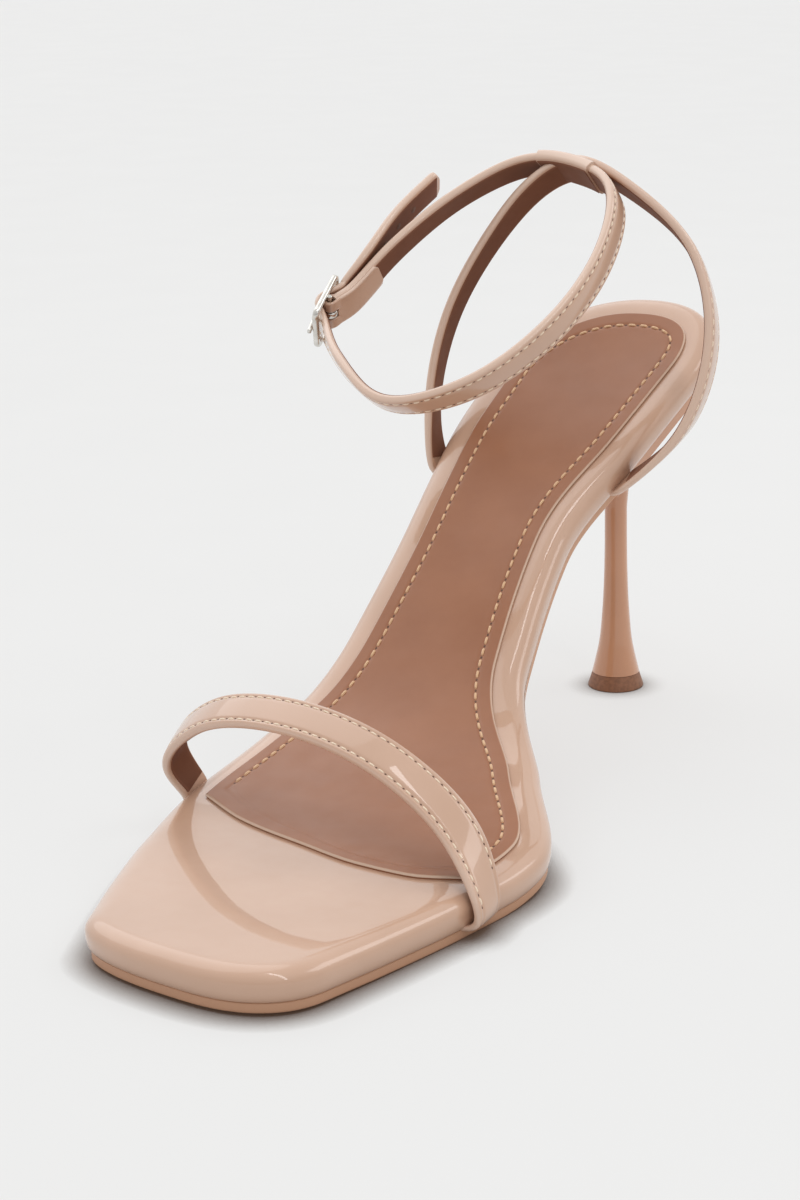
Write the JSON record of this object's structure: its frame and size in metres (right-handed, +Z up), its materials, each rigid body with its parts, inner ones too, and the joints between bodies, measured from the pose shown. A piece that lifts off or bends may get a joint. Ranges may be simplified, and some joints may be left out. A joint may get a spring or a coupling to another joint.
{
  "type": "high heeled ankle strap sandal",
  "caption": "Right high-heeled sandal in nude patent leather with a toe strap, a buckled ankle strap and a flared stiletto heel.",
  "frame": {"origin": "middle of the heel tip's ground face, on the floor", "axes": "+Z up, toe towards -Y, back of the heel towards +Y, +X on the medial side of a right shoe"},
  "size_m": [0.0936, 0.2189, 0.1299],
  "materials": {
    "patent_leather": "nude patent, high gloss",
    "sock_leather": "smooth tan lining leather, low sheen",
    "outsole_leather": "matt tan sole leather",
    "heel_cover": "nude patent cover",
    "top_piece_rubber": "dark brown, matt",
    "buckle_metal": "polished silver plate"
  },
  "bodies": {
    "root": {"outsole": "outsole_leather", "footbed": "patent_leather", "insole_sock": "sock_leather", "toe_strap": "patent_leather", "ankle_upper": "patent_leather", "heel": "heel_cover", "top_piece": "top_piece_rubber", "buckle_frame": "buckle_metal", "buckle_tongue": "buckle_metal"}
  },
  "joints": []
}
